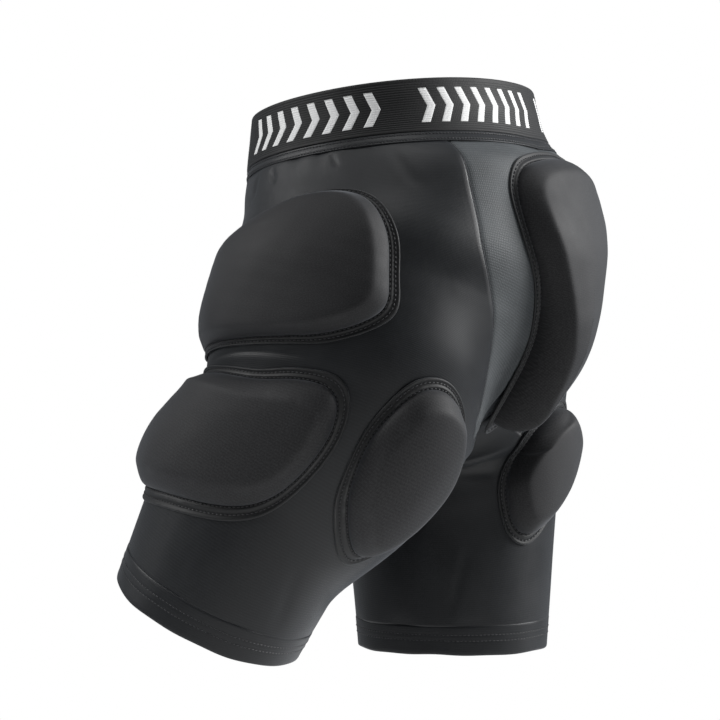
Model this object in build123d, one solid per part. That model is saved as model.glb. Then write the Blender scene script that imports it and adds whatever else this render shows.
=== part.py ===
from build123d import *

import os
from functools import lru_cache
from math import cos, dist, hypot, radians, sin, tan

# Padded impact shorts, standing as worn: +Z up, the wearer faces -Y and their left is +X.
# The origin is the middle of the waist opening. The right leg hangs straight and the left
# thigh is raised. Every surface is described by a level z0 (its height in the straight
# stance) and an angle around the leg's axis, 0 at the side, -90 in front, +90 behind.

# Driving dimensions, millimetres and degrees
BAND_HEIGHT = 44.0
TAPE_HEIGHT = 8.0
CROTCH = -280.0
HEM = -428.0
HEM_HEIGHT = 21.0
LEG_AXIS_X = 88.0
LEG_ROUND_TO = 150.0
WAIST_TILT = 8.0
CROTCH_SLANT = 0.50
MERGE_HEIGHT = 110.0
LEFT_RAISE = 28.0

FABRIC = 1.2
ELASTIC = 2.0
HEM_THICK = 2.0
SEAM_GAP = 0.5
LAYER_GAP = 0.05
JOIN_SHARE = 0.01
COVER = 1.0
PAD_GAP = 0.5
FOAM_GAP = 1.0
THREAD_GAP = 0.6
PAD_THICK = 17.0
BINDING_WIDTH = 6.0
BINDING_THICK = 2.6
THREAD_WIDTH = 0.8
THREAD_HEIGHT = 0.5

# Woven chevrons on the waistband: distances round it, and levels below its top edge
MARK_GROUPS, MARKS_EACH = 5, 8
MARK_START, MARK_PITCH = 114.0, 15.25
MARK_WIDTH, MARK_SLOPE = 6.5, 6.0
MARK_TOP, MARK_MIDDLE, MARK_LOW = -8.0, -22.0, -36.0
MARK_THICK = 0.35

# Girth of the body, level: half width, front depth, back depth, roundness
PELVIS = {
    0: (124, 104, 98, 2.1),
    -44: (130, 107, 112, 2.1),
    -95: (147, 104, 133, 2.1),
    -140: (161, 106, 141, 2.15),
    -190: (170, 108, 128, 2.2),
    -240: (172, 106, 110, 2.2),
    -280: (170, 97, 96, 2.2),
}
# Girth of a leg, level: outer X, inner X, front depth, back depth, roundness
LEG = {
    -190: (170, 0, 108, 128, 2.2),
    -240: (172, 0, 106, 110, 2.2),
    -280: (170, 0, 101, 97, 2.25),
    -290: (169, 9, 98, 96, 2.2),
    -320: (167, 15, 91, 92, 2.15),
    -370: (165, 17, 78, 86, 2.1),
    -428: (163, 19, 70, 80, 2.05),
}
# Angle of the seam between the side panel and the seat panel, by level
SEAM = {-40: (88,), -140: (86,), -200: (97,), -250: (105,), -285: (113,)}

# Hip hinge line along X, and how the cloth shares the turn between pelvis and leg
HINGE_Y, HINGE_Z = 0.0, -162.0
SHARE_START_Z = CROTCH + 2
SHARE_X, SHARE_Z = 0.6, -0.8
SHARE_LENGTH = 120.0
PULL_UP = 8.0
ZONE_FROM, ZONE_TO = -6.0, 108.0
INNER_TOP = CROTCH - 7

# Pad outlines: four sides, each from one corner to the next, as (angle, level)
HIP_PAD = (
    [(-76, -156), (-60, -138), (-40, -125), (-17, -112), (4, -101), (28, -98), (46, -110)],
    [(46, -110), (53, -150), (53, -195), (50, -238)],
    [(50, -238), (26, -265), (-4, -272), (-40, -272), (-76, -256)],
    [(-76, -256), (-88, -226), (-88, -188), (-76, -156)],
)
THIGH_PAD = (
    [(-80, -284), (-60, -280), (-38, -289), (-14, -292), (8, -287), (31, -287)],
    [(31, -287), (40, -304), (41, -330), (36, -350)],
    [(36, -350), (16, -364), (-22, -374), (-60, -380), (-84, -373)],
    [(-84, -373), (-92, -347), (-91, -312), (-80, -284)],
)
HAMSTRING_PAD = (
    [(56, -288), (65, -273), (78, -266), (91, -272)],
    [(91, -272), (100, -286), (105, -308), (103, -330)],
    [(103, -330), (98, -347), (89, -356), (79, -354)],
    [(79, -354), (66, -344), (55, -330), (50, -308), (56, -288)],
)
# The raised thigh carries its back pad further round to the side
HAMSTRING_SHIFT = {"left": 0, "right": 18}
# The seat pad lies across the middle of the back, as (X, level)
SEAT_PAD = (
    [(56, -72), (30, -62), (0, -59), (-30, -62), (-56, -72)],
    [(-56, -72), (-65, -98), (-58, -136), (-40, -166), (-26, -196), (-19, -228)],
    [(-19, -228), (-12, -240), (0, -244), (12, -240), (19, -228)],
    [(19, -228), (26, -196), (40, -166), (58, -136), (65, -98), (56, -72)],
)


# Body form

def table_at(table, z):
    """Smooth values of a table at one level."""
    levels = sorted(table)
    z = min(max(z, levels[0]), levels[-1])
    i = max(k for k in range(len(levels) - 1) if levels[k] <= z)
    span = levels[i + 1] - levels[i]
    t = (z - levels[i]) / span

    def rate(k, c):
        steps = []
        if k > 0:
            steps.append((table[levels[k]][c] - table[levels[k - 1]][c]) / (levels[k] - levels[k - 1]))
        if k < len(levels) - 1:
            steps.append((table[levels[k + 1]][c] - table[levels[k]][c]) / (levels[k + 1] - levels[k]))
        if len(steps) == 2 and steps[0] * steps[1] <= 0:
            return 0.0
        return sum(steps) / len(steps)

    values = []
    for c in range(len(table[levels[0]])):
        low, high = table[levels[i]][c], table[levels[i + 1]][c]
        values.append(
            (1 + 2 * t) * (1 - t) ** 2 * low
            + t * (1 - t) ** 2 * span * rate(i, c)
            + t * t * (3 - 2 * t) * high
            + t * t * (t - 1) * span * rate(i + 1, c)
        )
    return values


def ease(t):
    t = min(max(t, 0.0), 1.0)
    return t * t * (3 - 2 * t)


@lru_cache(maxsize=None)
def girths(z):
    return tuple(table_at(PELVIS, z)), tuple(table_at(LEG, z))


def leg_radius(angle, z):
    outer, inner, front, back, power = girths(z)[1]
    across = outer - LEG_AXIS_X if cos(angle) > 0 else LEG_AXIS_X - inner
    along = back if sin(angle) > 0 else front
    return (abs(cos(angle) / across) ** power + abs(sin(angle) / along) ** power) ** (-1 / power)


def pelvis_radius(angle, z):
    """Distance from the leg's axis to the pelvis outline, by halving."""
    half_width, front, back, power = girths(z)[0]
    low, high = 0.0, 400.0
    for _ in range(30):
        r = (low + high) / 2
        x, y = LEG_AXIS_X + r * cos(angle), r * sin(angle)
        depth = back if y > 0 else front
        if abs(x / half_width) ** power + abs(y / depth) ** power < 1:
            low = r
        else:
            high = r
    return (low + high) / 2


def straight(angle_deg, z):
    """A point of the body form in the straight stance, left half."""
    angle = radians(angle_deg)
    share = ease((z - CROTCH) / MERGE_HEIGHT)
    r = leg_radius(angle, min(z, -190)) * (1 - share)
    if share > 0:
        r += pelvis_radius(angle, z) * share
    x, y = LEG_AXIS_X + r * cos(angle), r * sin(angle)
    if z > CROTCH:
        up = ease((z - CROTCH) / -CROTCH)
        slant, tilt = CROTCH_SLANT * (1 - up), tan(radians(WAIST_TILT)) * up
    else:
        slant, tilt = CROTCH_SLANT * ease((z - HEM) / (CROTCH - HEM)), 0.0
    return x, y, z + x * slant + y * tilt


@lru_cache(maxsize=None)
def edge_angle(z, back):
    """Angle where a level meets the middle plane, or where the inner thigh starts."""
    sign = 1 if back else -1
    low, high = 90.0, LEG_ROUND_TO
    if straight(sign * high, z)[0] >= 0 or z <= CROTCH:
        return sign * high
    for _ in range(30):
        middle = (low + high) / 2
        if straight(sign * middle, z)[0] > 0:
            low = middle
        else:
            high = middle
    return sign * low


def share_distance(point):
    x, _, z = point
    return x * SHARE_X + (z - SHARE_START_Z) * SHARE_Z


def raise_leg(point, turn):
    """The cloth's share of a leg turn: none at the pelvis, all of it down the thigh."""
    x, y, z = point
    share = ease(share_distance(point) / SHARE_LENGTH)
    angle = radians(turn) * share
    y, z = y - HINGE_Y, z - HINGE_Z + PULL_UP * share * turn / LEFT_RAISE
    return x, HINGE_Y + y * cos(angle) + z * sin(angle), HINGE_Z - y * sin(angle) + z * cos(angle)


class Stance:
    """One side of the shorts: which side it is, and how far its leg is raised."""

    def __init__(self, side, turn):
        self.side, self.turn = side, turn

    def place(self, point):
        x, y, z = raise_leg(point, self.turn)
        return Vector(self.side * x, y, z)

    def point(self, angle, z, offset=0.0):
        here = self.place(straight(angle, z))
        if offset == 0:
            return here
        step = 0.6
        around = self.place(straight(angle + step, z)) - self.place(straight(angle - step, z))
        up = self.place(straight(angle, z + step)) - self.place(straight(angle, z - step))
        return here + around.cross(up).normalized() * (offset * self.side)


LEFT = Stance(1, LEFT_RAISE)
RIGHT = Stance(-1, 0.0)
SIDES = {"left": LEFT, "right": RIGHT}


# Sheets and layers

def sheet(inner, outer):
    """A closed solid between two matching grids of points."""
    faces = [Face.make_surface_from_array_of_points(grid) for grid in (inner, outer)]
    sides = []
    for edge, mate in zip(faces[0].edges(), faces[1].edges()):
        sides.append(Face.make_surface_from_curves(edge, mate))
    return Solid(Shell(faces + sides))


def joined(inner, outer, lengths):
    """A long sheet made as equal lengths, each starting a hair after the last one ends."""
    step = (len(inner) - 1) // lengths
    pieces = []
    for k in range(lengths):
        grids = []
        for grid in (inner, outer):
            part = [list(column) for column in grid[k * step:(k + 1) * step + 1]]
            if k > 0:
                part[0] = [a + (b - a) * JOIN_SHARE for a, b in zip(part[0], part[1])]
            grids.append(part)
        pieces.append(sheet(*grids))
    return pieces[0] if lengths == 1 else Compound(pieces)


def layer(stance, place, columns, rows, low, high, lengths=1):
    """A sheet from low to high over the body form; place gives (angle, level) on 0..1."""
    grids = []
    for offset in (low, high):
        grid = []
        for i in range(columns + 1):
            column = [place(i / columns, j / rows) for j in range(rows + 1)]
            grid.append([stance.point(angle, z, offset) for angle, z in column])
        grids.append(grid)
    return joined(*grids, lengths)


@lru_cache(maxsize=None)
def level_for(angle, distance):
    """Level at which a given angle lies at a distance along the turn-sharing band."""
    low, high = HEM, -60.0
    for _ in range(26):
        middle = (low + high) / 2
        if share_distance(straight(angle, middle)) > distance:
            low = middle
        else:
            high = middle
    return (low + high) / 2


def across(first, last, s, z):
    """Angle at a share s of the way between two edges of a level."""
    a, b = first(z), last(z)
    return a + (b - a) * s


def down_to(first, last, s, distance):
    """Level where a line that runs down a panel at share s meets the band."""
    z = -200.0
    for _ in range(5):
        z = level_for(round(across(first, last, s, z), 1), distance)
    return z


def front_edge(z):
    return edge_angle(round(z, 2), False)


def back_edge(z):
    return edge_angle(round(z, 2), True)


def seam_edge(z):
    return table_at(SEAM, z)[0]


def panel_places(first, last, top, distance):
    """Grid of a pelvis panel from a level down to the stretch band."""
    def place(s, t):
        bottom = down_to(first, last, s, distance)
        z = top + (bottom - top) * t
        return across(first, last, s, z), z
    return place


# Waist

def waist_ring(top, bottom, low, high, columns=44, rows=4):
    """A band round the whole waist, its ends meeting at the middle of the back."""
    half = columns // 2
    grids = []
    for offset in (low, high):
        grid = []
        for i in range(columns + 1):
            stance = RIGHT if i < half else LEFT
            share = abs(i - half) / half
            column = []
            for j in range(rows + 1):
                z = top + (bottom - top) * j / rows
                angle = front_edge(z) + (back_edge(z) - front_edge(z)) * share
                point = stance.point(angle, z, offset)
                if share == 0:
                    point.X = 0
                if share == 1:
                    point.X = stance.side * SEAM_GAP / 2
                column.append(point)
            grid.append(column)
        grids.append(grid)
    return joined(*grids, 4)


def waistband_elastic():
    return waist_ring(0, -BAND_HEIGHT, 0, ELASTIC)


@lru_cache(maxsize=None)
def waist_run():
    """Distances round half the waist from the front middle, each with its angle."""
    first, last = front_edge(MARK_MIDDLE), back_edge(MARK_MIDDLE)
    run = [(0.0, first)]
    for k in range(1, 241):
        angle = first + (last - first) * k / 240
        step = dist(straight(angle, MARK_MIDDLE), straight(run[-1][1], MARK_MIDDLE))
        run.append((run[-1][0] + step, angle))
    return run


def waist_angle(distance):
    run = waist_run()
    for (start, low), (end, high) in zip(run, run[1:]):
        if distance <= end:
            return low + (high - low) * (distance - start) / (end - start)
    return run[-1][1]


def chevron(start):
    """Two slanted bars, at a distance round the waist that starts up the left side."""
    half = waist_run()[-1][0]
    stance = LEFT if start < half else RIGHT

    def bar(top, bottom, lean):
        def place(s, t):
            along = MARK_SLOPE * (t if lean else 1 - t)
            if stance is LEFT:
                distance = start + MARK_WIDTH * s + along
            else:
                distance = 2 * half - start - MARK_WIDTH * (1 - s) - along
            return waist_angle(distance), top + (bottom - top) * t
        return layer(stance, place, 2, 3, ELASTIC + LAYER_GAP, ELASTIC + MARK_THICK)

    return [bar(MARK_TOP, MARK_MIDDLE, True), bar(MARK_MIDDLE - SEAM_GAP, MARK_LOW, False)]


def waistband_marks():
    """Plain chevrons in even groups round the band, none across the front or back middle."""
    half = waist_run()[-1][0]
    bars = []
    for group in range(MARK_GROUPS):
        for mark in range(MARKS_EACH):
            start = MARK_START + 2 * half * group / MARK_GROUPS + MARK_PITCH * mark
            for middle in (half, 2 * half):
                if middle - MARK_WIDTH - MARK_SLOPE < start < middle:
                    start = middle + SEAM_GAP
            bars.extend(chevron(start % (2 * half)))
    return Compound(bars)


def waist_seam_tape():
    return waist_ring(-BAND_HEIGHT - 0.3, -BAND_HEIGHT - TAPE_HEIGHT, 0, 1.7, rows=2)


def waist_stitching():
    rows = []
    for depth in (2.0, 6.0):
        top = -BAND_HEIGHT - depth
        rows.append(waist_ring(top, top - THREAD_WIDTH, 1.75, 1.75 + THREAD_HEIGHT, rows=2))
    return Compound(rows)


# Shell panels

PANEL_TOP = -BAND_HEIGHT - TAPE_HEIGHT - SEAM_GAP


def inset(edge, angle):
    return lambda z: edge(z) + angle


def hip_panel(stance):
    place = panel_places(inset(front_edge, 0.4), inset(seam_edge, -0.2), PANEL_TOP, ZONE_FROM)
    return layer(stance, place, 16, 14, 0, FABRIC)


def seat_panel(stance):
    place = panel_places(inset(seam_edge, 0.2), inset(back_edge, -0.4), PANEL_TOP, ZONE_FROM)
    return layer(stance, place, 8, 14, 0, FABRIC)


def seat_seam_stitching(stance):
    place = panel_places(inset(seam_edge, -1.0), inset(seam_edge, 1.0), PANEL_TOP - 1, ZONE_FROM - 2)
    return layer(stance, place, 2, 14, FABRIC + THREAD_GAP, FABRIC + THREAD_GAP + THREAD_HEIGHT)


def hip_stretch_zone(stance):
    """Cloth between pelvis and thigh, round the outside and down the inner thigh."""
    def outside(s, t):
        top = down_to(front_edge, back_edge, s, ZONE_FROM) - SEAM_GAP
        bottom = down_to(front_edge, back_edge, s, ZONE_TO)
        z = top + (bottom - top) * t
        return across(front_edge, back_edge, s, z), z

    def inside(s, t):
        angle = LEG_ROUND_TO + 0.5 + (360 - 2 * LEG_ROUND_TO - 1) * s
        bottom = level_for(angle, ZONE_TO)
        return angle, INNER_TOP + (bottom - INNER_TOP) * t

    return Compound([
        layer(stance, outside, 24, 12, 0, FABRIC, 2),
        layer(stance, inside, 8, 8, 0, FABRIC),
    ])



def crotch_gusset():
    """Saddle across the crotch between the tops of the two inner thighs."""
    crown = CROTCH + 1
    upper, lower = [], []
    for j in range(13):
        angle = LEG_ROUND_TO + 2 + (360 - 2 * LEG_ROUND_TO - 4) * j / 12
        edge = Vector(*straight(angle, INNER_TOP + 1.8))
        row = []
        for i in range(-3, 4):
            x = edge.X * i / 3
            z = edge.Z + (crown - edge.Z) * (1 - (i / 3) ** 2)
            row.append(Vector(x, edge.Y, z))
        upper.append(row)
        lower.append([point - Vector(0, 0, FABRIC) for point in row])
    return sheet(upper, lower)


def leg_panel(stance):
    def place(s, t):
        angle = -180 + 0.5 + 359 * s
        top = level_for(round(abs(angle) if abs(angle) > LEG_ROUND_TO else angle, 2), ZONE_TO) - SEAM_GAP
        bottom = HEM + HEM_HEIGHT + SEAM_GAP
        return angle, top + (min(bottom, top - 2) - top) * t
    return layer(stance, place, 36, 6, 0, FABRIC, 4)


def leg_hem(stance):
    def place(s, t):
        return -180 + 0.2 + 359.6 * s, HEM + HEM_HEIGHT * (1 - t)
    return layer(stance, place, 36, 3, 0, HEM_THICK, 4)


def hem_stitching(stance):
    rows = []
    for height in (10.9, 14.6):
        def place(s, t, height=height):
            return -180 + 0.5 + 359 * s, HEM + height - THREAD_WIDTH * t
        rows.append(layer(stance, place, 36, 2, HEM_THICK + LAYER_GAP, HEM_THICK + THREAD_HEIGHT, 4))
    return Compound(rows)


# Pads

def along(points, t):
    """A smooth run through points, t from 0 to 1 by distance."""
    lengths = [0.0]
    for a, b in zip(points, points[1:]):
        lengths.append(lengths[-1] + hypot(b[0] - a[0], b[1] - a[1]))
    goal = t * lengths[-1]
    k = min(max(i for i in range(len(points)) if lengths[i] <= goal + 1e-9), len(points) - 2)
    f = (goal - lengths[k]) / (lengths[k + 1] - lengths[k])
    p1, p2 = points[k], points[k + 1]
    p0 = points[k - 1] if k > 0 else (2 * p1[0] - p2[0], 2 * p1[1] - p2[1])
    p3 = points[k + 2] if k + 2 < len(points) else (2 * p2[0] - p1[0], 2 * p2[1] - p1[1])
    return tuple(
        0.5 * (2 * b + (c - a) * f + (2 * a - 5 * b + 4 * c - d) * f ** 2 + (3 * b - a - 3 * c + d) * f ** 3)
        for a, b, c, d in zip(p0, p1, p2, p3)
    )


def moved_out(outline, reach, amount):
    """The four sides of an outline, each moved outwards by an amount in millimetres."""
    ring = [(x * reach, z) for side in outline for x, z in side[:-1]]
    count = len(ring)
    area = sum(ring[k - 1][0] * ring[k][1] - ring[k][0] * ring[k - 1][1] for k in range(count))
    turn = 1 if area > 0 else -1
    moved = []
    for k in range(count):
        dx = ring[(k + 1) % count][0] - ring[k - 1][0]
        dz = ring[(k + 1) % count][1] - ring[k - 1][1]
        step = turn * amount / hypot(dx, dz)
        moved.append(((ring[k][0] + step * dz) / reach, ring[k][1] - step * dx))
    sides = []
    start = 0
    for side in outline:
        end = start + len(side) - 1
        sides.append([moved[k % count] for k in range(start, end + 1)])
        start = end
    return sides


class Pad:
    """A pad sewn on the cloth; to_surface turns its flat coordinates into a point."""

    def __init__(self, outline, reach, to_surface):
        self.outline, self.reach, self.to_surface = outline, reach, to_surface

    def block(self, grow, low, high, cells=14):
        """Everything inside the outline, from one height to another."""
        top, right, bottom, left = moved_out(self.outline, self.reach, grow)
        bottom, left = bottom[::-1], left[::-1]
        grids = []
        for offset in (low, high):
            grid = []
            for i in range(cells + 1):
                s = i / cells
                column = []
                for j in range(cells + 1):
                    t = j / cells
                    flat = []
                    for c in range(2):
                        value = (1 - t) * along(top, s)[c] + t * along(bottom, s)[c]
                        value += (1 - s) * along(left, t)[c] + s * along(right, t)[c]
                        value -= (1 - s) * ((1 - t) * top[0][c] + t * bottom[0][c])
                        value -= s * ((1 - t) * top[-1][c] + t * bottom[-1][c])
                        flat.append(value)
                    column.append(self.to_surface(*flat, offset))
                grid.append(column)
            grids.append(grid)
        return sheet(*grids)

    def strip(self, inner, outer, low, high, per_side=14):
        """A strip round the outline, its ends meeting at one corner."""
        grids = []
        for offset in (low, high):
            grid = []
            for k in range(4 * per_side + 1):
                side = min(k // per_side, 3)
                t = k / per_side - side
                if k == 0:
                    t = 0.02
                if k == 4 * per_side:
                    t = 0.98
                column = []
                for grow in (inner, (inner + outer) / 2, outer):
                    place = along(moved_out(self.outline, self.reach, grow)[side], t)
                    column.append(self.to_surface(*place, offset))
                grid.append(column)
            grids.append(grid)
        return joined(*grids, 4)


def side_pad(stance, outline):
    corners = [side[0] for side in outline]
    angle = sum(a for a, _ in corners) / 4
    z = sum(level for _, level in corners) / 4
    reach = (stance.point(angle + 1, z) - stance.point(angle - 1, z)).length / 2
    return Pad(outline, reach, stance.point)


def seat_pad():
    """The pad across the middle of the back, its flat coordinates being X and level."""
    def to_surface(x, z, offset):
        low, high = 45.0, back_edge(z)
        for _ in range(26):
            middle = (low + high) / 2
            if straight(middle, z)[0] > abs(x):
                low = middle
            else:
                high = middle
        return Stance(1 if x >= 0 else -1, 0.0).point(low, z, offset)
    return Pad(SEAT_PAD, 1.0, to_surface)


BASE = FABRIC + PAD_GAP
FOOT = -BINDING_WIDTH


def pad_foam(pad):
    return pad.block(FOOT - COVER - FOAM_GAP, BASE + FOAM_GAP, BASE + PAD_THICK - COVER - FOAM_GAP)


def pad_cover(pad):
    """A top panel over the foam and a wall panel round it."""
    shoulder = BASE + PAD_THICK - COVER
    top = pad.block(FOOT, shoulder, shoulder + COVER)
    wall = pad.strip(FOOT - COVER, FOOT, BASE, shoulder - LAYER_GAP)
    return Compound([top, *wall.solids()])


def pad_binding(pad):
    """The flat edge sewn down round a pad."""
    return pad.strip(FOOT + 0.4, 0, BASE, BASE + BINDING_THICK)


def pad_stitching(pad):
    """Two rows of thread round the binding."""
    low = BASE + BINDING_THICK + THREAD_GAP
    rows = []
    for inner in (FOOT + 1.6, FOOT + 4.0):
        rows.extend(pad.strip(inner, inner + THREAD_WIDTH, low, low + THREAD_HEIGHT).solids())
    return Compound(rows)


def side_pads(side, stance):
    shift = HAMSTRING_SHIFT[side]
    hamstring = [[(angle + shift, z) for angle, z in run] for run in HAMSTRING_PAD]
    return {
        "hip_pad": side_pad(stance, HIP_PAD),
        "thigh_pad": side_pad(stance, THIGH_PAD),
        "hamstring_pad": side_pad(stance, hamstring),
    }


def save(name, shape):
    solids = [solid for solid in shape.solids() if solid.volume > 0.05]
    print(name, len(solids), round(sum(solid.volume for solid in solids)))
    export_step(solids[0] if len(solids) == 1 else Compound(solids), f"parts/{name}.step")


def save_pad(name, pad):
    save(f"{name}_foam", pad_foam(pad))
    save(f"{name}_cover", pad_cover(pad))
    save(f"{name}_binding", pad_binding(pad))
    save(f"{name}_stitching", pad_stitching(pad))


def main():
    os.makedirs("parts", exist_ok=True)
    save("waistband_elastic", waistband_elastic())
    save("waistband_marks", waistband_marks())
    save("waist_seam_tape", waist_seam_tape())
    save("waist_stitching", waist_stitching())
    save("crotch_gusset", crotch_gusset())
    save_pad("seat_pad", seat_pad())
    for side, stance in SIDES.items():
        save(f"{side}_hip_panel", hip_panel(stance))
        save(f"{side}_seat_panel", seat_panel(stance))
        save(f"{side}_seat_seam_stitching", seat_seam_stitching(stance))
        save(f"{side}_hip_stretch_zone", hip_stretch_zone(stance))
        save(f"{side}_leg_panel", leg_panel(stance))
        save(f"{side}_leg_hem", leg_hem(stance))
        save(f"{side}_hem_stitching", hem_stitching(stance))
        for name, pad in side_pads(side, stance).items():
            save_pad(f"{side}_{name}", pad)


main()
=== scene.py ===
import bpy
import numpy as np
from math import cos, pi, radians, sin, tan
from mathutils import Matrix, Vector


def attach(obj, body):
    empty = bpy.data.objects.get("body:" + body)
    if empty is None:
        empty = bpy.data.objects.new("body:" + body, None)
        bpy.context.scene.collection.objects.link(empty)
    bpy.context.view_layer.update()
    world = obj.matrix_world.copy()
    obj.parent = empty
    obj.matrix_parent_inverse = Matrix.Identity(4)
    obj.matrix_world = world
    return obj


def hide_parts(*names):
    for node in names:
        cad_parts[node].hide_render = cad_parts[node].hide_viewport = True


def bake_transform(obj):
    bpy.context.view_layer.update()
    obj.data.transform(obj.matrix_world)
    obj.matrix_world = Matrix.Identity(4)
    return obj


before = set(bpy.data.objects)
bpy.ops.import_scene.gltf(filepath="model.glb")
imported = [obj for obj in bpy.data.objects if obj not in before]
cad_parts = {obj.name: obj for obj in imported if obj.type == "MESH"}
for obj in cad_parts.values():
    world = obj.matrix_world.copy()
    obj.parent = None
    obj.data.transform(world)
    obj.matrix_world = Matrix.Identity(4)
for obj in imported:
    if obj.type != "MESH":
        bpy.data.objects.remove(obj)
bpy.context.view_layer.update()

# Padded impact shorts. The body form is worked out in millimetres, as in the CAD: a level z
# (height in the straight stance) and an angle round the leg's axis, 0 at the side, -90 in
# front and +90 behind. Pieces are turned into metres when their meshes are made.

MM = 0.001
BAND_HEIGHT = 44.0
TAPE_HEIGHT = 8.0
CROTCH = -280.0
HEM = -428.0
HEM_HEIGHT = 21.0
LEG_AXIS_X = 88.0
LEG_TOP = -190.0
LEG_ROUND_TO = 150.0
WIDEST = 400.0
WAIST_TILT = 8.0
CROTCH_SLANT = 0.50
MERGE_HEIGHT = 110.0
LEFT_RAISE = 28.0
FABRIC = 1.2
PANEL_TOP = -BAND_HEIGHT - TAPE_HEIGHT
PAD_BASE = FABRIC + 0.25
# Cloth in millimetres for one degree round the leg
DEGREE = 1.9

# Half width, front, back and power of the pelvis's oval, by level
PELVIS = {
    0: (124, 104, 98, 2.1),
    -44: (130, 107, 112, 2.1),
    -66: (137, 107, 131, 2.1),
    -95: (147, 104, 137, 2.1),
    -140: (161, 106, 141, 2.15),
    -190: (170, 108, 128, 2.2),
    -240: (172, 106, 110, 2.2),
    -280: (170, 97, 96, 2.2),
}
# Outer and inner edge in X, front, back and power of the leg's oval, by level
LEG = {
    -190: (170, 0, 108, 128, 2.2),
    -240: (172, 0, 106, 110, 2.2),
    -280: (170, 0, 101, 97, 2.25),
    -290: (169, 9, 98, 96, 2.2),
    -320: (167, 15, 91, 92, 2.15),
    -370: (165, 17, 78, 86, 2.1),
    -428: (163, 19, 70, 80, 2.05),
}
# Angle of the seam beside the seat panel, by level
SEAM = {-40: (88,), -140: (86,), -200: (97,), -250: (105,), -285: (113,)}

# A leg turns about the hinge by a share that grows along a line slanting out and down
HINGE_Z = -162.0
SHARE_START_Z = CROTCH + 2
SHARE_X, SHARE_Z = 0.6, -0.8
SHARE_LENGTH = 120.0
PULL_UP = 8.0

# Pad outlines, their outer edge: (angle, level) round the leg, or (X, level) for the seat
HIP_PAD = [
    (-76, -156), (-60, -138), (-40, -125), (-17, -112), (4, -101), (28, -98), (46, -110), (53, -150),
    (53, -195), (50, -238), (26, -265), (-4, -272), (-40, -272), (-76, -256), (-88, -226), (-88, -188),
]
THIGH_PAD = [
    (-80, -284), (-60, -280), (-38, -289), (-14, -292), (8, -287), (31, -287), (40, -304),
    (41, -330), (36, -350), (16, -364), (-22, -374), (-60, -380), (-84, -373), (-92, -347),
    (-91, -312),
]
HAMSTRING_PAD = [
    (56, -288), (65, -273), (78, -266), (91, -272), (100, -286), (105, -308), (103, -330),
    (98, -347), (89, -356), (79, -354), (66, -344), (55, -330), (50, -308),
]
# The raised thigh carries its back pad further round to the side
HAMSTRING_SHIFT = {"left": -2, "right": 22}
SEAT_PAD = [
    (56, -72), (30, -62), (0, -59), (-30, -62), (-56, -72), (-65, -98), (-58, -136), (-40, -166),
    (-26, -198), (-19, -236), (-12, -255), (0, -261), (12, -255), (19, -236), (26, -198),
    (40, -166), (58, -136), (65, -98),
]


# Body form

def ease(t):
    t = np.clip(t, 0.0, 1.0)
    return t * t * (3 - 2 * t)


def table_at(table, z):
    """Smooth values of a table at each level, one column per value."""
    levels = np.array(sorted(table), float)
    values = np.array([table[k] for k in sorted(table)], float)
    z = np.clip(z, levels[0], levels[-1])
    slopes = np.diff(values, axis=0) / np.diff(levels)[:, None]
    rates = np.vstack([slopes[:1], (slopes[1:] + slopes[:-1]) / 2, slopes[-1:]])
    rates[1:-1][slopes[1:] * slopes[:-1] <= 0] = 0
    i = np.clip(np.searchsorted(levels, z, side="right") - 1, 0, len(levels) - 2)
    span = (levels[i + 1] - levels[i])[..., None]
    t = (z - levels[i])[..., None] / span
    return (
        (1 + 2 * t) * (1 - t) ** 2 * values[i]
        + t * (1 - t) ** 2 * span * rates[i]
        + t * t * (3 - 2 * t) * values[i + 1]
        + t * t * (t - 1) * span * rates[i + 1]
    )


def halve(low, high, inside, times=30):
    """Closes in on where a test stops being true between low and high."""
    for _ in range(times):
        middle = (low + high) / 2
        within = inside(middle)
        low, high = np.where(within, middle, low), np.where(within, high, middle)
    return low, high


def leg_radius(angle, z):
    outer, inner, front, back, power = np.moveaxis(table_at(LEG, z), -1, 0)
    across = np.where(np.cos(angle) > 0, outer - LEG_AXIS_X, LEG_AXIS_X - inner)
    along = np.where(np.sin(angle) > 0, back, front)
    oval = np.abs(np.cos(angle) / across) ** power + np.abs(np.sin(angle) / along) ** power
    return oval ** (-1 / power)


def pelvis_radius(angle, z):
    half_width, front, back, power = np.moveaxis(table_at(PELVIS, z), -1, 0)

    def inside(r):
        x, y = LEG_AXIS_X + r * np.cos(angle), r * np.sin(angle)
        depth = np.where(y > 0, back, front)
        return np.abs(x / half_width) ** power + np.abs(y / depth) ** power < 1

    low, high = halve(np.zeros_like(angle), np.full_like(angle, WIDEST), inside)
    return (low + high) / 2


def straight(angle_deg, z):
    """Points of the body form in the straight stance, left half."""
    angle_deg, z = np.broadcast_arrays(np.asarray(angle_deg, float), np.asarray(z, float))
    angle = np.radians(angle_deg)
    share = ease((z - CROTCH) / MERGE_HEIGHT)
    r = leg_radius(angle, np.minimum(z, LEG_TOP)) * (1 - share) + pelvis_radius(angle, z) * share
    x, y = LEG_AXIS_X + r * np.cos(angle), r * np.sin(angle)
    up = ease((z - CROTCH) / -CROTCH)
    slant = CROTCH_SLANT * np.where(z > CROTCH, 1 - up, ease((z - HEM) / (CROTCH - HEM)))
    tilt = tan(radians(WAIST_TILT)) * np.where(z > CROTCH, up, 0)
    return np.stack([x, y, z + x * slant + y * tilt], -1)


def edge_table(sign):
    """Angles where levels from the crotch up meet the middle plane."""
    z = np.linspace(CROTCH, 0, 225)
    square, inner = np.full_like(z, 90.0), np.full_like(z, LEG_ROUND_TO)
    edge, _ = halve(square, inner, lambda angle: straight(sign * angle, z)[..., 0] > 0)
    return z, sign * edge


FRONT_EDGE, BACK_EDGE = edge_table(-1), edge_table(1)


def front_edge(z):
    return np.interp(z, *FRONT_EDGE)


def back_edge(z):
    return np.interp(z, *BACK_EDGE)


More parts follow.
